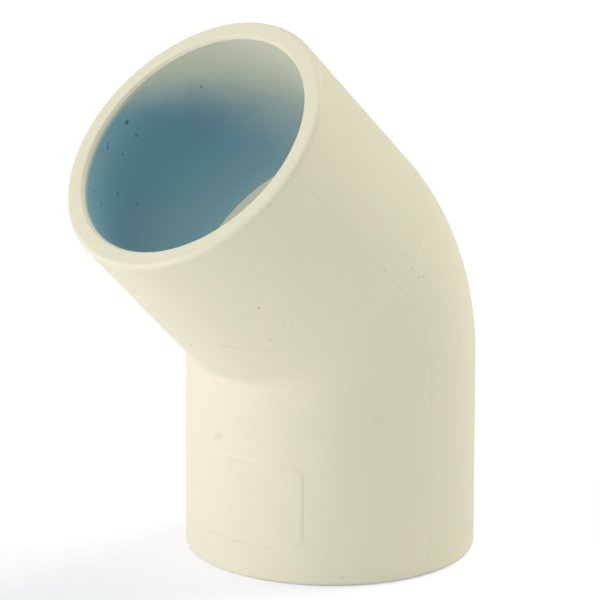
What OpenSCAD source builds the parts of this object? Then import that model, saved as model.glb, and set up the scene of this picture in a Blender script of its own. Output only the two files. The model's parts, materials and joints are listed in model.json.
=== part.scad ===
// Forty-five degree solvent-weld elbow for rigid PVC conduit: two equal sockets that meet at one tight bend.
// The lower socket points up +Z from its mouth, and the upper socket leans over towards -X.
// Lengths are in millimetres. The origin is the centre of the lower socket's mouth.

/* [Conduit] */
// Outside diameter of the conduit that each socket takes
conduit_d = 33.4; // [26:0.1:43]
// Wall thickness of that conduit, which sets how far each stop reaches in
conduit_wall = 3.4; // [2:0.1:5]

/* [Sockets] */
// Room between the conduit and the socket wall, all round, for the solvent cement
cement_gap = 0.1; // [0.05:0.05:0.4]
// Depth of each socket, from its mouth to the stop that the conduit meets
socket_depth = 26.8; // [22:0.1:40]
// Wall thickness of a socket at its mouth
mouth_wall = 2.75; // [2.6:0.05:6]
// Wall thickness of a socket where the bend begins, less than at the mouth by the mould's draft
stop_wall = 2.7; // [2.5:0.05:6]
// Width of the lead-in chamfer inside each mouth, measured across the rim
lead_in_w = 0.35; // [0.2:0.05:1]
// Depth of the lead-in chamfer along the socket
lead_in_h = 0.4; // [0.2:0.05:1.2]
// Radius of the rounded outer edge of each rim
edge_r = 0.75; // [0.2:0.05:1.5]

/* [Bend] */
// Angle between the two socket axes
bend_angle = 45; // [15:1:90]
// Radius of the inner curve at the throat of the bend
throat_r = 1.3; // [1:0.1:20]
// How far each stop sits inside the bend, past the plane where the bend begins
stop_sink = 0.4; // [0.2:0.1:1]

/* [Marking panel] */
// Width of the raised blank panel below the throat, straight across
panel_w = 23.2; // [10:0.1:31]
// Distance from the mouth to the panel's lower edge
panel_from_mouth = 4.8; // [3:0.1:6]
// Distance from the panel's upper edge to the level of the stop
panel_from_stop = 10.1; // [3:0.1:11]
// Radius of the panel's corners
panel_corner_r = 2; // [0.5:0.1:2.4]
// How far the panel stands off the socket wall
panel_proud = 0.1; // [0.05:0.01:0.3]

/* [Hidden] */

// Warm ivory plastic, a shade deeper on the bend
ivory = [0.93, 0.91, 0.82];
ivory_bend = [0.90, 0.88, 0.79];

$fn = 128;
// Straight steps that make the quarter round on a rim
edge_steps = 8;

bore_r = conduit_d / 2 + cement_gap;
cableway_r = conduit_d / 2 - conduit_wall;
mouth_r = bore_r + mouth_wall;
stop_r = bore_r + stop_wall;
bend_r = stop_r + throat_r;
socket_h = socket_depth - stop_sink;
panel_h = socket_depth - panel_from_mouth - panel_from_stop;

// Radius of a socket's outer wall at a height above its mouth
function wall_r(h) = mouth_r + (stop_r - mouth_r) * (h - edge_r) / (socket_h - edge_r);

// Half section of a socket as [radius, height] points, with its mouth at height 0
function socket_section() = concat(
    [[bore_r, socket_h], [bore_r, lead_in_h], [bore_r + lead_in_w, 0]],
    [for (i = [0 : edge_steps])
        let (a = -90 + 90 * i / edge_steps)
        [mouth_r - edge_r + edge_r * cos(a), edge_r + edge_r * sin(a)]],
    [[stop_r, socket_h]]
);

// A sleeve that stands on its mouth and is open right through
module socket() {
    rotate_extrude()
        polygon(socket_section());
}

// A rectangle with rounded corners, centred on the origin
module rounded_rectangle(w, h, r) {
    square([w - 2 * r, h], center = true);
    square([w, h - 2 * r], center = true);
    for (x = [-1, 1], y = [-1, 1])
        translate([x * (w / 2 - r), y * (h / 2 - r)])
            circle(r = r, $fn = 32);
}

// A patch of the socket's own curve, raised by panel_proud and rooted halfway into the wall
module marking_panel() {
    bottom = panel_from_mouth;
    top = panel_from_mouth + panel_h;
    root_r = bore_r + stop_wall / 2;
    intersection() {
        rotate_extrude()
            polygon([
                [root_r, bottom - 1],
                [wall_r(bottom - 1) + panel_proud, bottom - 1],
                [wall_r(top + 1) + panel_proud, top + 1],
                [root_r, top + 1]
            ]);
        translate([0, 0, (bottom + top) / 2])
            rotate([0, -90, 0])
                linear_extrude(mouth_r + 1)
                    rounded_rectangle(panel_h, panel_w, panel_corner_r);
    }
}

// Places its children, drawn for the lower end of the bend, at the upper end.
module at_upper_end() {
    translate([-bend_r, 0, socket_h])
        rotate([0, -bend_angle, 0])
            translate([bend_r, 0, 0])
                children();
}

module lower_socket() {
    color(ivory) {
        socket();
        marking_panel();
    }
}

// A curved tube, as long as the bend. Its passage is as wide as the conduit's own bore.
module curved_tube() {
    translate([-bend_r, 0, socket_h])
        rotate([90, 0, 0])
            rotate_extrude(angle = bend_angle)
                translate([bend_r, 0])
                    difference() {
                        circle(r = stop_r);
                        circle(r = cableway_r);
                    }
}

// The last bit of a socket's bore, cut into an end of the bend that lies at height 0
module stop_recess() {
    translate([0, 0, -1])
        cylinder(r = bore_r, h = 1 + stop_sink);
}

// The floor of each recess is the stop for a conduit, and cables slide past it over no step.
module bend() {
    color(ivory_bend)
        difference() {
            curved_tube();
            translate([0, 0, socket_h])
                stop_recess();
            at_upper_end()
                mirror([0, 0, 1])
                    stop_recess();
        }
}

module upper_socket() {
    color(ivory)
        at_upper_end()
            translate([0, 0, socket_h])
                mirror([0, 0, 1])
                    socket();
}

lower_socket();
bend();
upper_socket();
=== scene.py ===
import json
import math

import bmesh
import bpy
import numpy as np
from mathutils import Matrix, Vector


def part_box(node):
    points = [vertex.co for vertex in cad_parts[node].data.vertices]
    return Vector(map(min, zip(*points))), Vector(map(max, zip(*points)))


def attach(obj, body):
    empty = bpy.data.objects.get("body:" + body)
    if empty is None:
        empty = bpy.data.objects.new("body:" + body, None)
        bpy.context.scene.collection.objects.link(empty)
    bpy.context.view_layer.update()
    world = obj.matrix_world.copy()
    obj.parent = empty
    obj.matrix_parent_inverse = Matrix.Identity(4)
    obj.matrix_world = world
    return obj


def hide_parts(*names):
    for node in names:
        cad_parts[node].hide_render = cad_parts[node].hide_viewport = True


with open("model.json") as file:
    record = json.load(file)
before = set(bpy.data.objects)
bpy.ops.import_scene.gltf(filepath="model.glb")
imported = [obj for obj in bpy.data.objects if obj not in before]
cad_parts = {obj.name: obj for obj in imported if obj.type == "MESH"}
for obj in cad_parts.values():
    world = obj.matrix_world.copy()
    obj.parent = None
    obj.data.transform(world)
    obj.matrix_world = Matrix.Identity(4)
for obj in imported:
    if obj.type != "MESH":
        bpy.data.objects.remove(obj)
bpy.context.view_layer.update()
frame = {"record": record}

bl_info = {
    "name": "PVC Conduit Elbow",
    "version": (1, 0, 0),
    "blender": (4, 5, 0),
    "location": "View3D > Sidebar > Elbow",
    "description": "Moulds an ivory solvent-weld conduit elbow round its packed frame",
    "category": "Object",
}

MM = 0.001
MOUNTS = {mount["name"]: mount for mount in frame["record"]["mounts"]}

# The elbow's main sizes, in metres and radians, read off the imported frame
RIM_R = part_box("lower_socket")[1].x
SOCKET_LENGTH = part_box("lower_socket")[1].z
WALL_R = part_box("bend")[1].y
BORE_R = MOUNTS["lower_socket"]["dims"]["r_mm"] * MM
STOP_DEPTH = MOUNTS["lower_stop"]["pos_m"][2]
LEAD_IN_DEPTH = SOCKET_LENGTH - MOUNTS["lower_socket"]["dims"]["length_mm"] * MM
STOP_SINK = STOP_DEPTH - SOCKET_LENGTH
UPPER_MOUTH = Vector(MOUNTS["upper_socket"]["pos_m"])
TURN = math.acos(MOUNTS["upper_socket"]["axis"][2])
CORNER_HEIGHT = -UPPER_MOUTH.x / math.sin(TURN)
BEND_R = (CORNER_HEIGHT - SOCKET_LENGTH) / math.tan(TURN / 2)
BEND_LENGTH = BEND_R * TURN
TUBE_LENGTH = 2 * SOCKET_LENGTH + BEND_LENGTH

# The two finishes, by their place in each mesh's list of materials.
# The bore's finish has painted shade and painted light in its colour.
IVORY, SHADED_BORE = 0, 1

# The mesh is finer this far to each side of a parting line or of an edge of the panel, with this
# many rows or columns. The even spacing starts again this many half widths from the middle.
FINE_HALF_WIDTH = 0.6 * MM
FINE_COUNT = 17
FINE_MARGIN = 1.2

# Two outline points that are closer than this are one point
SAME_POINT = 0.0001 * MM

SHARP_ANGLE = math.radians(40)
BLACK = (0, 0, 0, 1)

# How strongly each kind of mark covers the plastic under it
SPECK_STRENGTH = 0.45
PARTING_STRENGTH = 0.06

# Handling marks: (distance along in mm, angle in degrees) at both ends, half width in mm, strength
SKIN_SCRATCHES = [
    ((42.2, 301), (42.1, 292), 0.20, 0.75),
    ((42.1, 292), (42.0, 283), 0.20, 0.75),
    ((20.5, 62), (24.0, 55), 0.20, 0.60),
    ((58.0, 118), (55.5, 130), 0.20, 0.60),
]
SKIN_DIRT = [
    ((51.0, 198), (49.2, 207), 0.26, 0.13),
    ((49.2, 207), (47.4, 216), 0.26, 0.13),
    ((55.9, 224), (55.9, 224.4), 0.34, 0.55),
    ((49.9, 218), (49.8, 218.6), 0.38, 0.50),
    ((50.1, 180), (50.3, 181), 0.40, 0.40),
    ((18.3, 176), (18.9, 179), 0.90, 0.14),
    ((21.2, 170), (18.9, 177), 0.40, 0.04),
    ((17.4, 181), (16.8, 192), 0.40, 0.03),
    ((1.3, 232), (1.4, 232.3), 0.32, 0.50),
    ((33.0, 150), (35.0, 146), 0.34, 0.18),
    ((9.0, 20), (9.2, 20.5), 0.36, 0.45),
]
SPECK_PATCHES = [
    ((48.0, 273), (40.0, 278), 4.2, 0.75),
    ((52.0, 228), (51.0, 233), 3.0, 0.55),
    ((40.0, 96), (36.0, 88), 4.0, 0.65),
    ((24.0, 215), (22.0, 245), 2.6, 0.20),
]
BORE_DUST = [
    ((66.3, 84), (66.1, 84.6), 0.40, 0.85),
    ((63.7, 85), (63.5, 85.4), 0.28, 0.70),
    ((67.0, 98), (66.5, 100), 0.28, 0.65),
    ((63.9, 96), (63.7, 96.5), 0.34, 0.75),
    ((62.5, 48), (62.3, 48.5), 0.32, 0.50),
    ((64.9, 126), (64.7, 126.5), 0.30, 0.65),
    ((57.8, 109), (57.5, 109.5), 0.34, 0.50),
    ((61.9, 113), (61.6, 113.5), 0.28, 0.50),
    ((66.5, 123), (66.3, 123.5), 0.28, 0.60),
    ((63.5, 142), (63.1, 144), 0.40, 0.65),
    ((7.9, 75), (8.1, 75.5), 0.34, 0.65),
    ((13.9, 110), (14.1, 110.5), 0.32, 0.60),
]


class ElbowSizes(bpy.types.PropertyGroup):
    """Sizes that the frame's mounts don't state."""

    cableway_radius: bpy.props.FloatProperty(
        name="Cableway Radius",
        description="Radius of the passage behind each stop",
        default=13.3 * MM,
        unit="LENGTH",
        precision=5,
    )
    rim_rounding: bpy.props.FloatProperty(
        name="Rim Rounding",
        description="Radius of the outer edge of each rim",
        default=0.75 * MM,
        unit="LENGTH",
        precision=5,
    )
    lead_in_width: bpy.props.FloatProperty(
        name="Lead-in Width",
        description="Width of the chamfer inside each mouth, measured across the rim",
        default=0.35 * MM,
        unit="LENGTH",
        precision=5,
    )
    corner_softness: bpy.props.FloatProperty(
        name="Corner Softness",
        description="Radius that moulding leaves on the small inner corners",
        default=0.12 * MM,
        unit="LENGTH",
        precision=5,
    )
    panel_width: bpy.props.FloatProperty(
        name="Panel Width",
        description="Width of the blank marking panel, straight across",
        default=23.2 * MM,
        unit="LENGTH",
        precision=5,
    )
    panel_low: bpy.props.FloatProperty(
        name="Panel Low Edge",
        description="Height of the panel's lower edge above the mouth",
        default=4.8 * MM,
        unit="LENGTH",
        precision=5,
    )
    panel_high: bpy.props.FloatProperty(
        name="Panel High Edge",
        description="Height of the panel's upper edge above the mouth",
        default=16.7 * MM,
        unit="LENGTH",
        precision=5,
    )
    panel_corner: bpy.props.FloatProperty(
        name="Panel Corner Radius",
        description="Radius of the panel's corners",
        default=2.0 * MM,
        unit="LENGTH",
        precision=5,
    )
    panel_proud: bpy.props.FloatProperty(
        name="Panel Height",
        description="How far the panel stands off the wall",
        default=0.1 * MM,
        unit="LENGTH",
        precision=5,
    )
    panel_edge: bpy.props.FloatProperty(
        name="Panel Edge",
        description="Width of the soft slope round the panel",
        default=0.32 * MM,
        unit="LENGTH",
        precision=5,
    )
    parting_height: bpy.props.FloatProperty(
        name="Parting Line Height",
        description="Height of the ridge where the two mould halves met",
        default=0.02 * MM,
        unit="LENGTH",
        precision=6,
    )
    parting_width: bpy.props.FloatProperty(
        name="Parting Line Width",
        description="Half width of that ridge",
        default=0.11 * MM,
        unit="LENGTH",
        precision=6,
    )
    row_step: bpy.props.FloatProperty(
        name="Row Step",
        description="Longest distance between two rows of the mesh",
        default=0.5 * MM,
        unit="LENGTH",
        precision=5,
    )


def place(turned, straight, radius, around):
    """Points that are a part of the turn and a straight run along the elbow's middle line.

    They lie a radius from that line and at an angle round it, which is 0 on the outside of the
    bend, a quarter turn on +Y and half a turn at the throat.
    """
    reach = BEND_R + radius * np.cos(around)
    x = reach * np.cos(turned) - straight * np.sin(turned) - BEND_R
    y = radius * np.sin(around) + 0 * x
    z = SOCKET_LENGTH + reach * np.sin(turned) + straight * np.cos(turned)
    return np.stack([x, y, z], axis=-1)


def surface_point(radius, along_mm, around_degrees):
    """One point on the wall or in the bore, at a distance along the elbow from the lower mouth."""
    along = along_mm * MM
    turned = min(max((along - SOCKET_LENGTH) / BEND_R, 0), TURN)
    straight = along - SOCKET_LENGTH - BEND_R * turned
    return tuple(place(turned, straight, radius, math.radians(around_degrees)))


def columns(sizes):
    """Angles of the mesh's columns: even, and closer over the parting lines and the panel's sides."""
    even_count = 288
    half_width = FINE_HALF_WIDTH / RIM_R
    side = math.asin(sizes.panel_width / 2 / RIM_R)
    centres = [math.pi / 2, 3 * math.pi / 2, math.pi - side, math.pi + side]
    even = np.arange(even_count) * 2 * math.pi / even_count
    for centre in centres:
        even = even[np.abs(even - centre) > half_width * FINE_MARGIN]
    fine = [centre + np.linspace(-half_width, half_width, FINE_COUNT) for centre in centres]
    return np.sort(np.concatenate([even, *fine]))


def stretch(start, end, step, close_to=()):
    """Points along a straight line from start to end, closer together beside some levels."""
    start, end = np.array(start), np.array(end)
    length = np.linalg.norm(end - start)
    shares = np.linspace(0, 1, max(2, math.ceil(length / step) + 1))
    for level in close_to:
        middle = (level - start[0]) / (end[0] - start[0])
        half_width = FINE_HALF_WIDTH / length
        shares = shares[np.abs(shares - middle) > half_width * FINE_MARGIN]
        fine = middle + np.linspace(-half_width, half_width, FINE_COUNT)
        shares = np.concatenate([shares, fine])
    return start + np.sort(shares)[:, None] * (end - start)


def fillet(before, corner, after, radius, steps=4):
    """Points on an arc that rounds a corner between its two neighbours."""
    corner = np.array(corner)
    back = (before - corner) / np.linalg.norm(before - corner)
    on = (after - corner) / np.linalg.norm(after - corner)
    half = math.acos(np.dot(back, on)) / 2
    tangent = radius / math.tan(half)
    middle = (back + on) / np.linalg.norm(back + on) * radius / math.sin(half)
    first = back * tangent - middle
    last = on * tangent - middle
    sweep = math.pi - 2 * half
    share = np.linspace(0, 1, steps + 1)[:, None]
    arc = (np.sin((1 - share) * sweep) * first + np.sin(share * sweep) * last) / math.sin(sweep)
    return corner + middle + arc


class Outline:
    """A closed half section: rows of points, each with its share of relief and its finish."""

    def __init__(self):
        self.rows = []
        self.relief = []
        self.finish = []

    def add(self, points, relief, finish):
        """Adds points, leaving out the first where the outline already ends there.

        A point that two stretches share has the bore's finish if either of them has it.
        """
        shares = np.broadcast_to(np.asarray(relief, float), len(points))
        for point, share in zip(points, shares):
            if self.rows and np.linalg.norm(self.rows[-1] - point) < SAME_POINT:
                if finish == SHADED_BORE:
                    self.finish[-1] = SHADED_BORE
                continue
            self.rows.append(point)
            self.relief.append(share)
            self.finish.append(finish)

    def close(self):
        """Drops the last row where it is the first one again, and returns the three lists."""
        if np.linalg.norm(self.rows[-1] - self.rows[0]) < SAME_POINT:
            self.rows.pop()
            self.relief.pop()
            self.finish.pop()
        return np.array(self.rows), np.array(self.relief), np.array(self.finish)


def socket_outline(sizes, levels=()):
    """The half section of a socket, as (distance from its mouth, radius), finer at some levels."""
    soft = sizes.corner_softness
    bore_soft = soft * 3
    step = sizes.row_step
    lead_in_step = step / 2
    bore_step = step * 1.4
    hidden_step = step * 2
    wall_end = np.array([SOCKET_LENGTH, WALL_R])
    edge = np.array([0, RIM_R])
    rim_in = np.array([0, BORE_R + sizes.lead_in_width])
    bore_start = np.array([LEAD_IN_DEPTH, BORE_R])
    bore_end = np.array([SOCKET_LENGTH, BORE_R])

    rounding = fillet(wall_end, edge, rim_in, sizes.rim_rounding, steps=10)
    rim_corner = fillet(edge, rim_in, bore_start, soft)
    bore_corner = fillet(rim_in, bore_start, bore_end, bore_soft, steps=6)

    outline = Outline()
    outline.add(stretch(wall_end, rounding[0], step, levels), 1, IVORY)
    outline.add(rounding, np.linspace(1, 0, len(rounding)), IVORY)
    outline.add(stretch(rounding[-1], rim_corner[0], step), 0, IVORY)
    outline.add(rim_corner, 0, IVORY)
    outline.add(stretch(rim_corner[-1], bore_corner[0], lead_in_step), 0, IVORY)
    outline.add(bore_corner, 0, SHADED_BORE)
    outline.add(stretch(bore_corner[-1], bore_end, bore_step), 0, SHADED_BORE)
    outline.add(stretch(bore_end, wall_end, hidden_step), 0, IVORY)
    return outline.close()


def bend_outline(sizes):
    """The half section of the bend, as (part of the turn, straight run, radius).

    The cableway starts to turn once even its throat side is past the stop, with room to spare.
    """
    lip_soft = sizes.corner_softness * 2
    step = sizes.row_step
    wall_step = step / 2
    hidden_step = step * 2
    inner = sizes.cableway_radius
    room = 1.2
    clear = room * STOP_SINK / (BEND_R - inner)
    recess = np.array([0, 0, BORE_R])
    floor = np.array([0, STOP_SINK, BORE_R])
    lip = np.array([0, STOP_SINK, inner])
    passage = np.array([0, STOP_SINK + 2 * lip_soft, inner])
    lip_corner = fillet(floor, lip, passage, lip_soft)

    def at_upper_end(points):
        """The same points at the other end of the bend, in the opposite order."""
        return np.array([TURN, 0, 0]) + points[::-1] * np.array([1, -1, 1])

    def turning(first, last, radius, count):
        """Points at one radius from one part of the turn to another."""
        turned = np.linspace(first, last, count)
        return np.stack([turned, 0 * turned, radius + 0 * turned], axis=-1)

    lower_end = [
        (stretch([0, 0, WALL_R], recess, hidden_step), IVORY),
        (stretch(recess, floor, wall_step), SHADED_BORE),
        (stretch(floor, lip_corner[0], step), IVORY),
        (lip_corner, IVORY),
    ]
    wall_rows = math.ceil(BEND_R * TURN / wall_step)
    outline = Outline()
    outline.add(turning(TURN, 0, WALL_R, wall_rows), 1, IVORY)
    for points, finish in lower_end:
        outline.add(points, 0, finish)
    outline.add(turning(clear, TURN - clear, inner, wall_rows // 2), 0, SHADED_BORE)
    for points, finish in reversed(lower_end):
        outline.add(at_upper_end(points), 0, finish)
    return outline.close()


def smooth(share):
    """Eases a share from 0 to 1 with no corner at either end."""
    share = np.clip(share, 0, 1)
    return share * share * (3 - 2 * share)


def panel_relief(sizes, along, across, on_throat_side):
    """How far the marking panel lifts the wall: all of it inside the outline, none outside."""
    corner = sizes.panel_corner
    half_width = sizes.panel_width / 2 - corner
    half_height = (sizes.panel_high - sizes.panel_low) / 2 - corner
    middle = (sizes.panel_high + sizes.panel_low) / 2
    past_side = np.abs(across) - half_width
    past_end = np.abs(along - middle) - half_height
    beyond = np.hypot(np.maximum(past_side, 0), np.maximum(past_end, 0))
    inside = np.minimum(np.maximum(past_side, past_end), 0)
    distance = beyond + inside - corner
    lift = smooth(0.5 - distance / sizes.panel_edge)
    return sizes.panel_proud * lift * on_throat_side


def parting_relief(sizes, radius, around):
    """The small ridge along both parting lines, beside which one side stands slightly proud.

    That step is a share of the ridge's height, and fades over some ridge widths.
    """
    step_share = 0.5
    fade_widths = 12
    off = radius * np.cos(around) / sizes.parting_width
    ridge = np.exp(-off * off)
    step = smooth(0.5 + off / 2) * np.exp(-np.abs(off) / fade_widths)
    return sizes.parting_height * (ridge + step_share * step)


def tube_mesh(name, sizes, rows, relief_share, finish, relief_at):
    """Sweeps a closed outline round the elbow's middle line and returns the mesh.

    Each row is (part of the turn, straight run, radius). relief_at gives the lift of the wall at
    a radius and an angle, and relief_share how much of it each row takes.
    """
    around = columns(sizes)[None, :]
    turned, straight, radius = np.split(rows, 3, axis=1)
    lifted = radius + relief_at(radius, around) * relief_share[:, None]
    points = place(turned, straight, lifted, around).reshape(-1, 3)

    row_count, column_count = lifted.shape
    index = np.arange(row_count * column_count).reshape(row_count, column_count)
    next_row = np.roll(index, -1, axis=0)
    corners = [index, np.roll(index, -1, axis=1), np.roll(next_row, -1, axis=1), next_row]
    quads = np.stack(corners, axis=-1).reshape(-1, 4)

    mesh = bpy.data.meshes.new(name)
    mesh.from_pydata(points.tolist(), [], quads.tolist())
    face_out(mesh)
    mesh.polygons.foreach_set("use_smooth", np.ones(len(quads), bool))
    row_finish = np.where((finish == SHADED_BORE) & (np.roll(finish, -1) == SHADED_BORE), SHADED_BORE, IVORY)
    mesh.polygons.foreach_set("material_index", np.repeat(row_finish, column_count).astype(np.int32))
    mesh.set_sharp_from_angle(angle=SHARP_ANGLE)

    along = SOCKET_LENGTH + BEND_R * turned + straight + 0 * around
    nearest_mouth = np.minimum(along, TUBE_LENGTH - along)
    put_attribute(mesh, "mouth_depth", nearest_mouth / STOP_DEPTH)
    put_attribute(mesh, "outer_side", np.cos(around) + 0 * along)
    put_attribute(mesh, "skin", relief_share[:, None] + 0 * along)
    return mesh


def face_out(mesh):
    """Turns every face of a closed mesh outwards: faces that point inwards give a volume below 0."""
    shape = bmesh.new()
    shape.from_mesh(mesh)
    if shape.calc_volume(signed=True) < 0:
        bmesh.ops.reverse_faces(shape, faces=shape.faces)
    shape.to_mesh(mesh)
    shape.free()


def put_attribute(mesh, name, values):
    """Stores one number for each point of a mesh."""
    attribute = mesh.attributes.new(name, "FLOAT", "POINT")
    attribute.data.foreach_set("value", values.astype(np.float32).ravel())


def add_piece(mesh, node, materials):
    """Puts a mesh in the scene in place of its CAD node."""
    for material in materials:
        mesh.materials.append(material)
    piece = bpy.data.objects.new(mesh.name, mesh)
    bpy.context.scene.collection.objects.link(piece)
    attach(piece, "root")
    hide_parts(node)


# Shader building

def add(tree, kind, inputs=None, **settings):
    """Adds a shader node, with its settings and with numbers or links for its inputs."""
    node = tree.nodes.new(kind)
    for name, value in settings.items():
        setattr(node, name, value)
    for name, value in (inputs or {}).items():
        if isinstance(value, bpy.types.NodeSocket):
            tree.links.new(value, node.inputs[name])
        else:
            node.inputs[name].default_value = value
    return node


def calculate(tree, operation, *values, clamp=False):
    """Adds a Math node and returns its result."""
    inputs = dict(enumerate(values))
    return add(tree, "ShaderNodeMath", inputs, operation=operation, use_clamp=clamp).outputs[0]


def blend_colours(tree, share, first, second):
    """Adds a colour Mix node and returns its result."""
    inputs = {0: share, 6: first, 7: second}
    return add(tree, "ShaderNodeMix", inputs, data_type="RGBA").outputs[2]


def remap(tree, value, low, high, to_low=0.0, to_high=1.0):
    """Adds a smooth Map Range node and returns its result."""
    inputs = {"Value": value, "From Min": low, "From Max": high, "To Min": to_low, "To Max": to_high}
    node = add(tree, "ShaderNodeMapRange", inputs, interpolation_type="SMOOTHSTEP")
    return node.outputs[0]


def object_place(tree):
    """The point on the object that is being shaded."""
    return add(tree, "ShaderNodeTexCoord").outputs["Object"]


def stored(tree, name):
    """A number stored on the mesh."""
    return add(tree, "ShaderNodeAttribute", attribute_name=name).outputs["Fac"]


def new_group(name, inputs, outputs):
    """Starts a shader node group with named number or vector inputs and number outputs."""
    tree = bpy.data.node_groups.new(name, "ShaderNodeTree")
    for label, default in inputs.items():
        kind = "NodeSocketVector" if isinstance(default, tuple) else "NodeSocketFloat"
        tree.interface.new_socket(label, in_out="INPUT", socket_type=kind).default_value = default
    for label in outputs:
        tree.interface.new_socket(label, in_out="OUTPUT", socket_type="NodeSocketFloat")
    return tree, add(tree, "NodeGroupInput").outputs, add(tree, "NodeGroupOutput").inputs


def use_group(tree, name, inputs):
    """Places a shader node group in a material and returns its outputs."""
    return add(tree, "ShaderNodeGroup", inputs, node_tree=bpy.data.node_groups[name]).outputs


def build_flow_clouds():
    """Faint clouds and grain that melted plastic leaves as it fills the mould."""
    tree, given, result = new_group(
        "Flow Clouds", {"Cloud Size": 9 * MM, "Grain Size": 0.35 * MM}, ["Cloud", "Grain"]
    )
    where = object_place(tree)
    cloud = add(
        tree,
        "ShaderNodeTexNoise",
        {
            "Vector": where,
            "Scale": calculate(tree, "DIVIDE", 1, given["Cloud Size"]),
            "Detail": 3.0,
            "Roughness": 0.55,
            "Distortion": 0.6,
        },
    )
    grain = add(
        tree,
        "ShaderNodeTexNoise",
        {
            "Vector": where,
            "Scale": calculate(tree, "DIVIDE", 1, given["Grain Size"]),
            "Detail": 2.0,
            "Roughness": 0.5,
        },
    )
    tree.links.new(remap(tree, cloud.outputs["Fac"], 0.3, 0.7), result["Cloud"])
    tree.links.new(grain.outputs["Fac"], result["Grain"])


def build_specks():
    """Scattered dark specks, each a different size and ragged, with clean plastic between them."""
    grit_size = 0.25 * MM
    raggedness = 1.6
    least_spread = 0.2
    least_size = 0.3
    solid_share = 0.4
    tree, given, result = new_group(
        "Specks", {"Spacing": 4 * MM, "Speck Size": 0.12 * MM, "Share": 0.3}, ["Mask"]
    )
    cells = add(
        tree,
        "ShaderNodeTexVoronoi",
        {"Vector": object_place(tree), "Scale": calculate(tree, "DIVIDE", 1, given["Spacing"])},
    )
    chance = add(tree, "ShaderNodeSeparateColor", {"Color": cells.outputs["Color"]}).outputs
    grit = add(tree, "ShaderNodeTexNoise", {"Vector": object_place(tree), "Scale": 1 / grit_size})
    spread = calculate(tree, "MULTIPLY_ADD", grit.outputs["Fac"], raggedness, least_spread)
    reach = calculate(tree, "MULTIPLY", cells.outputs["Distance"], given["Spacing"])
    reach = calculate(tree, "MULTIPLY", reach, spread)
    size_share = calculate(tree, "ADD", chance["Green"], least_size)
    size = calculate(tree, "MULTIPLY", given["Speck Size"], size_share)
    solid = calculate(tree, "MULTIPLY", size, solid_share)
    inside = remap(tree, reach, solid, size, 1.0, 0.0)
    chosen = calculate(tree, "LESS_THAN", chance["Red"], given["Share"])
    tree.links.new(calculate(tree, "MULTIPLY", inside, chosen), result["Mask"])


def build_handling_mark():
    """A straight mark between two points, fading out at its sides, or a spot where they meet."""
    wobble_size = 0.8 * MM
    tree, given, result = new_group(
        "Handling Mark",
        {"Start": (0.0, 0.0, 0.0), "End": (0.0, 0.0, 1.0), "Width": 0.15 * MM},
        ["Mask"],
    )

    def vectors(operation, first, second, output="Vector"):
        """Adds a Vector Math node and returns its result."""
        node = add(tree, "ShaderNodeVectorMath", {0: first, 1: second}, operation=operation)
        return node.outputs[output]

    run = vectors("SUBTRACT", given["End"], given["Start"])
    offset = vectors("SUBTRACT", object_place(tree), given["Start"])
    share = calculate(
        tree,
        "DIVIDE",
        vectors("DOT_PRODUCT", offset, run, "Value"),
        vectors("DOT_PRODUCT", run, run, "Value"),
        clamp=True,
    )
    nearest = add(tree, "ShaderNodeVectorMath", {0: run, "Scale": share}, operation="SCALE")
    distance = vectors("DISTANCE", offset, nearest.outputs["Vector"], "Value")
    wobble = add(
        tree, "ShaderNodeTexNoise", {"Vector": object_place(tree), "Scale": 1 / wobble_size}
    )
    width_share = remap(tree, wobble.outputs["Fac"], 0.2, 0.8, 0.4, 1.4)
    width = calculate(tree, "MULTIPLY", given["Width"], width_share)
    tree.links.new(remap(tree, distance, 0.0, width, 1.0, 0.0), result["Mask"])


def build_parting_line():
    """The line that both mould halves leave along the two sides of the elbow."""
    tree, given, result = new_group("Parting Line", {"Width": 0.2 * MM}, ["Mask"])
    off = calculate(tree, "ABSOLUTE", stored(tree, "outer_side"))
    distance = calculate(tree, "MULTIPLY", off, WALL_R)
    beside = remap(tree, distance, 0.0, given["Width"], 1.0, 0.0)
    tree.links.new(calculate(tree, "MULTIPLY", beside, stored(tree, "skin")), result["Mask"])


def opaque(colour):
    """A colour with full alpha, as colour sockets take it."""
    return (*colour, 1)


def start_material(name):
    """Starts a node material and returns it with its tree and its Principled node."""
    material = bpy.data.materials.new(name)
    material.use_nodes = True
    tree = material.node_tree
    tree.nodes.clear()
    shader = add(tree, "ShaderNodeBsdfPrincipled")
    add(tree, "ShaderNodeOutputMaterial", {"Surface": shader.outputs[0]})
    return material, tree, shader


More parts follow.
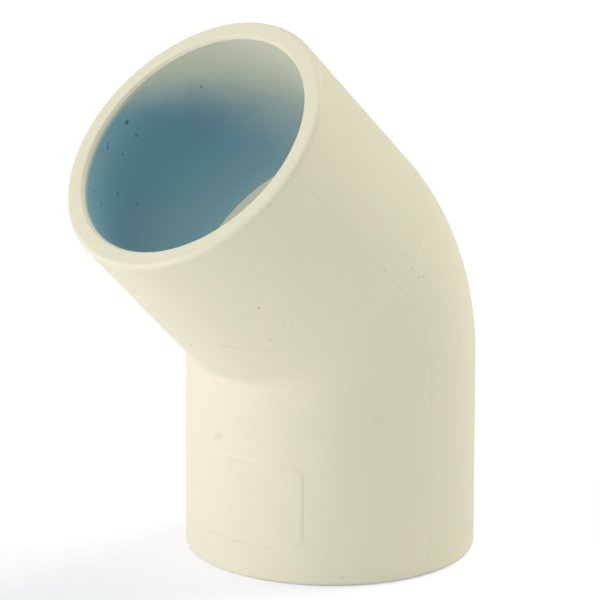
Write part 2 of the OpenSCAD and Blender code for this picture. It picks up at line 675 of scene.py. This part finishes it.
class ElbowFinish(bpy.types.PropertyGroup):
    """Colours and roughness of the plastic, with the painted shade, lit side and glow of bore and
    stops.
    """

    ivory: bpy.props.FloatVectorProperty(
        name="Ivory",
        description="Colour of the outer skin",
        default=(0.86, 0.82, 0.68),
        subtype="COLOR",
    )
    ivory_cloud: bpy.props.FloatVectorProperty(
        name="Ivory Cloud",
        description="Colour of the faint clouds in the skin",
        default=(0.83, 0.82, 0.67),
        subtype="COLOR",
    )
    dirt: bpy.props.FloatVectorProperty(
        name="Dirt",
        description="Colour of specks and of dirt along the parting lines",
        default=(0.30, 0.28, 0.20),
        subtype="COLOR",
    )
    scratch: bpy.props.FloatVectorProperty(
        name="Scratch",
        description="Colour of the light scratches",
        default=(0.95, 0.93, 0.86),
        subtype="COLOR",
    )
    # Painted light: the lit side of the bore, painted into its colour
    bore_lit_side: bpy.props.FloatVectorProperty(
        name="Bore Warm Side",
        description="Colour of the bore on the outer side of the bend",
        default=(0.88, 0.87, 0.70),
        subtype="COLOR",
    )
    # Painted shade: the shaded part of the bore, painted blue-grey
    bore_shade: bpy.props.FloatVectorProperty(
        name="Bore Shade",
        description="Blue-grey colour of the rest of the bore",
        default=(0.29, 0.525, 0.66),
        subtype="COLOR",
    )
    # Painted shade: a darker belt about a third of the way down the bore
    bore_dark_shade: bpy.props.FloatVectorProperty(
        name="Bore Dark Belt",
        description="Darker blue-grey colour about a third of the way down the bore",
        default=(0.24, 0.455, 0.62),
        subtype="COLOR",
    )
    bore_dust: bpy.props.FloatVectorProperty(
        name="Bore Dust",
        description="Colour of the dark dust spots in the bore",
        default=(0.03, 0.10, 0.16),
        subtype="COLOR",
    )
    # Painted glow: this emission brightens the stops' faces as if lit, though no lamp lights them
    stop_painted_glow: bpy.props.FloatVectorProperty(
        name="Stop Glow",
        description="Light that comes through the wall into the stops",
        default=(0.25, 0.20, 0.145),
        subtype="COLOR",
    )
    # Painted glow: this emission brightens the deep bore as if light came through the wall
    bore_painted_glow: bpy.props.FloatVectorProperty(
        name="Bore Glow",
        description="Light that comes through the wall into the deep part of the bore",
        default=(0.04, 0.055, 0.055),
        subtype="COLOR",
    )
    roughness: bpy.props.FloatProperty(
        name="Roughness",
        description="Roughness of the moulded skin",
        default=0.42,
        min=0,
        max=1,
    )


def add_marks(tree, colour, marks, radius, mark_colour, pattern=1.0):
    """Lays handling marks, filled with a pattern, over a colour and returns the result."""
    for start, end, half_width, strength in marks:
        mark = use_group(
            tree,
            "Handling Mark",
            {
                "Start": surface_point(radius, *start),
                "End": surface_point(radius, *end),
                "Width": half_width * MM,
            },
        )
        share = calculate(tree, "MULTIPLY", mark["Mask"], strength)
        share = calculate(tree, "MULTIPLY", share, pattern)
        colour = blend_colours(tree, share, colour, mark_colour)
    return colour


def add_grain(tree, shader, grain, height):
    """Feeds grain of a real height to the shader as a bump."""
    bump = add(tree, "ShaderNodeBump", {"Strength": 1.0, "Distance": height, "Height": grain})
    tree.links.new(bump.outputs[0], shader.inputs["Normal"])


def add_painted_glow(tree, shader, share, colour):
    """Paints a glow on a share of the surface: emission that stands in for light no lamp gives."""
    glow = blend_colours(tree, share, BLACK, opaque(colour))
    tree.links.new(glow, shader.inputs["Emission Color"])
    shader.inputs["Emission Strength"].default_value = 1.0


def make_ivory(finish):
    """Ivory skin: faint clouds, specks, parting-line dirt, handling marks, and painted glow on the
    stops.
    """
    grain_height = 0.004 * MM
    grain_roughness = 0.10
    glow_start = 0.8
    material, tree, shader = start_material("ivory_pvc_skin")
    dirt = opaque(finish.dirt)
    clouds = use_group(tree, "Flow Clouds", {"Cloud Size": 9 * MM, "Grain Size": 0.35 * MM})
    specks = use_group(tree, "Specks", {"Spacing": 3 * MM, "Speck Size": 0.16 * MM, "Share": 0.35})
    line = use_group(tree, "Parting Line", {"Width": 0.22 * MM})
    trapped = use_group(
        tree, "Specks", {"Spacing": 0.7 * MM, "Speck Size": 0.16 * MM, "Share": 0.8}
    )

    colour = blend_colours(tree, clouds["Cloud"], opaque(finish.ivory), opaque(finish.ivory_cloud))
    speck = calculate(tree, "MULTIPLY", specks["Mask"], SPECK_STRENGTH)
    colour = blend_colours(tree, speck, colour, dirt)
    parting = calculate(tree, "MULTIPLY", line["Mask"], PARTING_STRENGTH)
    colour = blend_colours(tree, parting, colour, dirt)
    colour = add_marks(tree, colour, SPECK_PATCHES, WALL_R, dirt, trapped["Mask"])
    colour = add_marks(tree, colour, SKIN_DIRT, WALL_R, dirt)
    colour = add_marks(tree, colour, SKIN_SCRATCHES, WALL_R, opaque(finish.scratch))
    tree.links.new(colour, shader.inputs["Base Color"])
    smoothest = finish.roughness - grain_roughness / 2
    roughness = calculate(tree, "MULTIPLY_ADD", clouds["Grain"], grain_roughness, smoothest)
    tree.links.new(roughness, shader.inputs["Roughness"])
    add_grain(tree, shader, clouds["Grain"], grain_height)

    # Painted glow on the stops' faces deep in each socket, in place of light that no lamp gives
    inside = calculate(tree, "SUBTRACT", 1.0, stored(tree, "skin"))
    deep = remap(tree, stored(tree, "mouth_depth"), glow_start, 1.0)
    at_stop = calculate(tree, "MULTIPLY", inside, deep)
    add_painted_glow(tree, shader, at_stop, finish.stop_painted_glow)
    return material


def make_shaded_bore(finish):
    """Bore finish: a painted lit side on the outer side of the bend, painted blue-grey shade
    elsewhere, and a painted glow deep in.

    Depths are shares of the way from the mouth to the stop. The painted lit side starts where the
    cosine of the angle from the outer side, and a widening that grows towards the mouth, add up to
    the lit border. A belt of darker painted shade lies about a third of the way down.
    """
    grain_height = 0.006 * MM
    grain_roughness = 0.12
    smoothest = 0.4
    lit_widening = 0.72
    widening_power = 2.4
    lit_border = (0.62, 1.3)
    blotchiness = 0.05
    belt_start = (0.04, 0.28)
    belt_end = (0.35, 0.75)
    glow_start = 0.3
    edge_width = 1.2 * MM
    material, tree, shader = start_material("bore_pvc_painted_shade")
    depth = stored(tree, "mouth_depth")
    outer = stored(tree, "outer_side")
    clouds = use_group(tree, "Flow Clouds", {"Cloud Size": 4 * MM, "Grain Size": 0.3 * MM})
    height = calculate(tree, "SUBTRACT", 1.0, depth, clamp=True)
    openness = calculate(tree, "POWER", height, widening_power)
    reach = calculate(tree, "MULTIPLY_ADD", openness, lit_widening, outer)
    blotch = calculate(tree, "MULTIPLY_ADD", clouds["Cloud"], blotchiness, -blotchiness / 2)
    # Share of the painted lit side, where lamp light falls on the outer side of the bore
    lit_share = remap(tree, calculate(tree, "ADD", reach, blotch), *lit_border)
    # A belt of darker painted shade about a third of the way down the bore
    past_start = remap(tree, depth, *belt_start)
    before_end = remap(tree, depth, *belt_end, 1.0, 0.0)
    belt = calculate(tree, "MULTIPLY", past_start, before_end)
    shade = blend_colours(tree, belt, opaque(finish.bore_shade), opaque(finish.bore_dark_shade))
    colour = blend_colours(tree, lit_share, shade, opaque(finish.bore_lit_side))
    past_edge = remap(tree, depth, LEAD_IN_DEPTH / STOP_DEPTH, edge_width / STOP_DEPTH)
    colour = blend_colours(tree, past_edge, opaque(finish.ivory), colour)
    colour = add_marks(tree, colour, BORE_DUST, BORE_R, opaque(finish.bore_dust))
    tree.links.new(colour, shader.inputs["Base Color"])
    # Painted glow in the deep part of the bore, in place of light that no lamp gives
    add_painted_glow(tree, shader, remap(tree, depth, glow_start, 1.0), finish.bore_painted_glow)
    roughness = calculate(tree, "MULTIPLY_ADD", clouds["Grain"], grain_roughness, smoothest)
    tree.links.new(roughness, shader.inputs["Roughness"])
    add_grain(tree, shader, clouds["Grain"], grain_height)
    return material


def finishes():
    """The two plastic finishes in the order that the mesh expects, made once."""
    if "Flow Clouds" not in bpy.data.node_groups:
        build_flow_clouds()
        build_specks()
        build_handling_mark()
        build_parting_line()
    finish = bpy.context.scene.elbow_finish
    ivory = bpy.data.materials.get("ivory_pvc_skin") or make_ivory(finish)
    # The bore material paints shade, a lit side and a glow into the bore's colour
    grey = bpy.data.materials.get("bore_pvc_painted_shade") or make_shaded_bore(finish)
    return [ivory, grey]


class ElbowStudio(bpy.types.PropertyGroup):
    """The camera, the floor and the lights."""

    view_azimuth: bpy.props.FloatProperty(
        name="View Azimuth",
        description="Direction that the camera looks along, turned from +Y",
        default=math.radians(-42.59),
        subtype="ANGLE",
    )
    view_elevation: bpy.props.FloatProperty(
        name="View Elevation",
        description="Height of the camera above the horizon",
        default=math.radians(15.89),
        subtype="ANGLE",
    )
    view_roll: bpy.props.FloatProperty(
        name="View Roll",
        description="Turn of the camera about its own axis",
        default=math.radians(0.19),
        subtype="ANGLE",
    )
    view_distance: bpy.props.FloatProperty(
        name="View Distance",
        description="Distance from the camera to the middle of the elbow",
        default=0.6556,
        unit="LENGTH",
    )
    lens: bpy.props.FloatProperty(
        name="Lens",
        description="Focal length of the camera, in millimetres",
        default=293.4,
    )
    aim_right: bpy.props.FloatProperty(
        name="Aim Right",
        description="How far the view's middle lies to the right of the corner of the two axes",
        default=-4.15 * MM,
        unit="LENGTH",
        precision=5,
    )
    aim_up: bpy.props.FloatProperty(
        name="Aim Up",
        description="How far the view's middle lies above the corner of the two axes",
        default=-1.09 * MM,
        unit="LENGTH",
        precision=5,
    )
    surround: bpy.props.FloatVectorProperty(
        name="Surround",
        description="Colour and strength of the light from the white room",
        default=(0.435, 0.50, 0.43),
        subtype="COLOR",
    )
    lamp_distance: bpy.props.FloatProperty(
        name="Lamp Distance",
        description="Distance from each soft lamp to the elbow",
        default=1.3,
        unit="LENGTH",
    )
    lamp_side: bpy.props.FloatProperty(
        name="Lamp Side",
        description="Side of each square lamp",
        default=0.9,
        unit="LENGTH",
    )
    side_round: bpy.props.FloatProperty(
        name="Side Lamp Direction",
        description="Angle of the side lamp round from the camera, to the right",
        default=math.radians(-74),
        subtype="ANGLE",
    )
    side_height: bpy.props.FloatProperty(
        name="Side Lamp Height",
        description="Angle of the side lamp above the floor",
        default=math.radians(15),
        subtype="ANGLE",
    )
    side_colour: bpy.props.FloatVectorProperty(
        name="Side Lamp Colour",
        description="Colour of the soft lamp beside the elbow, on the camera's left",
        default=(1.0, 0.86, 0.88),
        subtype="COLOR",
    )
    side_strength: bpy.props.FloatProperty(
        name="Side Lamp Strength",
        description="Light that the side lamp casts on a wall that faces it",
        default=0.57,
    )
    rear_round: bpy.props.FloatProperty(
        name="Rear Lamp Direction",
        description="Angle of the rear lamp round from the camera, to the right",
        default=math.radians(120),
        subtype="ANGLE",
    )
    rear_height: bpy.props.FloatProperty(
        name="Rear Lamp Height",
        description="Angle of the rear lamp above the floor",
        default=math.radians(50),
        subtype="ANGLE",
    )
    rear_colour: bpy.props.FloatVectorProperty(
        name="Rear Lamp Colour",
        description="Colour of the soft lamp high behind the elbow, on the camera's right",
        default=(1.0, 0.80, 0.72),
        subtype="COLOR",
    )
    rear_strength: bpy.props.FloatProperty(
        name="Rear Lamp Strength",
        description="Light that the rear lamp casts on a wall that faces it",
        default=0.51,
    )
    floor_glow: bpy.props.FloatVectorProperty(
        name="Floor Glow",
        description="Light that the white paper on the floor gives off where the camera sees it",
        default=(0.24, 0.24, 0.33),
        subtype="COLOR",
    )


def view_axes(studio):
    """The level directions across the view and back towards the camera."""
    azimuth = studio.view_azimuth
    across = Vector((math.cos(azimuth), math.sin(azimuth), 0))
    return across, Vector((math.sin(azimuth), -math.cos(azimuth), 0))


def add_soft_lamp(studio, name, turned, raised, colour, strength):
    """Adds a square lamp that faces the elbow and makes a white wall facing it as bright as strength.

    Its place is an angle round from the camera, to the right, and an angle above the floor.
    A lamp of power P at distance d makes that wall about P / (pi d)^2 bright.
    """
    distance = studio.lamp_distance
    across, back = view_axes(studio)
    level = back * math.cos(turned) + across * math.sin(turned)
    direction = level * math.cos(raised) + Vector((0, 0, math.sin(raised)))
    lamp = bpy.data.lights.new(name, "AREA")
    lamp.shape = "SQUARE"
    lamp.size = studio.lamp_side
    lamp.color = colour
    lamp.energy = strength * (math.pi * distance) ** 2
    holder = bpy.data.objects.new(name, lamp)
    holder.location = Vector((0, 0, CORNER_HEIGHT)) + direction * distance
    holder.rotation_mode = "QUATERNION"
    holder.rotation_quaternion = direction.to_track_quat("Z", "Y")
    bpy.context.scene.collection.objects.link(holder)


def add_surround(studio):
    """Lights everything evenly, as white walls do."""
    world = bpy.data.worlds.new("white_room")
    world.use_nodes = True
    background = world.node_tree.nodes["Background"]
    background.inputs["Color"].default_value = opaque(studio.surround)
    background.inputs["Strength"].default_value = 1
    bpy.context.scene.world = world


def add_floor(studio):
    """Adds a wide white paper floor, which glows fully only where the camera sees it."""
    half_side = 4.0
    paper_grain = 25 * MM
    darkest, lightest = (0.94, 0.94, 0.94), (0.95, 0.95, 0.95)
    unseen_glow = 0.25
    mesh = bpy.data.meshes.new("studio_floor")
    corners = [(x * half_side, y * half_side, 0) for x, y in ((-1, -1), (1, -1), (1, 1), (-1, 1))]
    mesh.from_pydata(corners, [], [(0, 1, 2, 3)])
    material, tree, shader = start_material("floor_white")
    paper = add(
        tree,
        "ShaderNodeTexNoise",
        {"Vector": object_place(tree), "Scale": 1 / paper_grain, "Detail": 2.0},
    )
    shade = remap(tree, paper.outputs["Fac"], 0.2, 0.8)
    colour = blend_colours(tree, shade, opaque(darkest), opaque(lightest))
    tree.links.new(colour, shader.inputs["Base Color"])
    shader.inputs["Roughness"].default_value = 0.9
    shader.inputs["Specular IOR Level"].default_value = 0.0
    shader.inputs["Emission Color"].default_value = opaque(studio.floor_glow)
    seen = add(tree, "ShaderNodeLightPath").outputs["Is Camera Ray"]
    glow = remap(tree, seen, 0.0, 1.0, unseen_glow, 1.0)
    tree.links.new(glow, shader.inputs["Emission Strength"])
    mesh.materials.append(material)
    floor = bpy.data.objects.new("studio_floor", mesh)
    bpy.context.scene.collection.objects.link(floor)


def add_camera(studio):
    """Adds the camera and points it at the elbow."""
    elevation, roll = studio.view_elevation, studio.view_roll
    level, level_back = view_axes(studio)
    back = level_back * math.cos(elevation) + Vector((0, 0, math.sin(elevation)))
    upright = back.cross(level)
    aim = Vector((0, 0, CORNER_HEIGHT)) + level * studio.aim_right + upright * studio.aim_up
    right = level * math.cos(roll) + upright * math.sin(roll)
    up = upright * math.cos(roll) - level * math.sin(roll)
    lens = bpy.data.cameras.new("studio_camera")
    lens.sensor_width = 36
    lens.lens = studio.lens
    lens.clip_start = 0.01
    lens.clip_end = 50
    camera = bpy.data.objects.new("studio_camera", lens)
    turn = Matrix((right, up, back)).transposed().to_4x4()
    camera.matrix_world = Matrix.Translation(aim + back * studio.view_distance) @ turn
    bpy.context.scene.collection.objects.link(camera)
    bpy.context.scene.camera = camera


class ELBOW_OT_lower_socket(bpy.types.Operator):
    """Moulds the lower socket, with its blank marking panel"""

    bl_idname = "elbow.lower_socket"
    bl_label = "Mould Lower Socket"

    def execute(self, context):
        sizes = context.scene.elbow_sizes
        levels = (sizes.panel_low, sizes.panel_high)
        outline, relief_share, finish = socket_outline(sizes, levels)
        from_mouth, radius = outline[:, 0], outline[:, 1]
        rows = np.stack([0 * radius, from_mouth - SOCKET_LENGTH, radius], axis=-1)

        def relief_at(wall, around):
            panel = panel_relief(
                sizes, from_mouth[:, None], wall * np.sin(around), np.cos(around) < 0
            )
            return panel + parting_relief(sizes, wall, around)

        mesh = tube_mesh("lower_socket_moulding", sizes, rows, relief_share, finish, relief_at)
        add_piece(mesh, "lower_socket", finishes())
        return {"FINISHED"}


class ELBOW_OT_bend(bpy.types.Operator):
    """Moulds the bend between the two sockets, with the stop for each conduit"""

    bl_idname = "elbow.bend"
    bl_label = "Mould Bend"

    def execute(self, context):
        sizes = context.scene.elbow_sizes
        rows, relief_share, finish = bend_outline(sizes)

        def relief_at(wall, around):
            return parting_relief(sizes, wall, around)

        mesh = tube_mesh("bend_moulding", sizes, rows, relief_share, finish, relief_at)
        add_piece(mesh, "bend", finishes())
        return {"FINISHED"}


class ELBOW_OT_upper_socket(bpy.types.Operator):
    """Moulds the upper socket, which leans over the throat"""

    bl_idname = "elbow.upper_socket"
    bl_label = "Mould Upper Socket"

    def execute(self, context):
        sizes = context.scene.elbow_sizes
        outline, relief_share, finish = socket_outline(sizes)
        from_mouth, radius = outline[:, 0], outline[:, 1]
        rows = np.stack([TURN + 0 * radius, SOCKET_LENGTH - from_mouth, radius], axis=-1)

        def relief_at(wall, around):
            return parting_relief(sizes, wall, around)

        mesh = tube_mesh("upper_socket_moulding", sizes, rows, relief_share, finish, relief_at)
        add_piece(mesh, "upper_socket", finishes())
        return {"FINISHED"}


class ELBOW_OT_studio(bpy.types.Operator):
    """Sets up the white floor, the soft lights and the camera"""

    bl_idname = "elbow.studio"
    bl_label = "Set Up Studio"

    def execute(self, context):
        studio = context.scene.elbow_studio
        context.scene.view_settings.view_transform = "Standard"
        add_surround(studio)
        add_floor(studio)
        add_soft_lamp(
            studio,
            "side_lamp",
            studio.side_round,
            studio.side_height,
            studio.side_colour,
            studio.side_strength,
        )
        add_soft_lamp(
            studio,
            "rear_lamp",
            studio.rear_round,
            studio.rear_height,
            studio.rear_colour,
            studio.rear_strength,
        )
        add_camera(studio)
        return {"FINISHED"}


class ELBOW_PT_panel(bpy.types.Panel):
    """Sidebar panel with the elbow's sizes, finish and studio"""

    bl_label = "Conduit Elbow"
    bl_idname = "ELBOW_PT_panel"
    bl_space_type = "VIEW_3D"
    bl_region_type = "UI"
    bl_category = "Elbow"

    def draw(self, context):
        for settings in (
            context.scene.elbow_sizes,
            context.scene.elbow_finish,
            context.scene.elbow_studio,
        ):
            box = self.layout.box()
            for name in settings.__annotations__:
                box.prop(settings, name)
        for operator in STEPS:
            self.layout.operator(operator.bl_idname)


STEPS = [ELBOW_OT_lower_socket, ELBOW_OT_bend, ELBOW_OT_upper_socket, ELBOW_OT_studio]
CLASSES = [ElbowSizes, ElbowFinish, ElbowStudio, *STEPS, ELBOW_PT_panel]


def register():
    """Registers the classes and their settings."""
    for cls in CLASSES:
        bpy.utils.register_class(cls)
    bpy.types.Scene.elbow_sizes = bpy.props.PointerProperty(type=ElbowSizes)
    bpy.types.Scene.elbow_finish = bpy.props.PointerProperty(type=ElbowFinish)
    bpy.types.Scene.elbow_studio = bpy.props.PointerProperty(type=ElbowStudio)


def unregister():
    """Removes the settings and the classes."""
    del bpy.types.Scene.elbow_studio
    del bpy.types.Scene.elbow_finish
    del bpy.types.Scene.elbow_sizes
    for cls in reversed(CLASSES):
        bpy.utils.unregister_class(cls)


def main():
    """Makes the elbow and its studio."""
    register()
    bpy.ops.elbow.lower_socket()
    bpy.ops.elbow.bend()
    bpy.ops.elbow.upper_socket()
    bpy.ops.elbow.studio()
    bpy.context.view_layer.update()


if __name__ == "__main__":
    main()
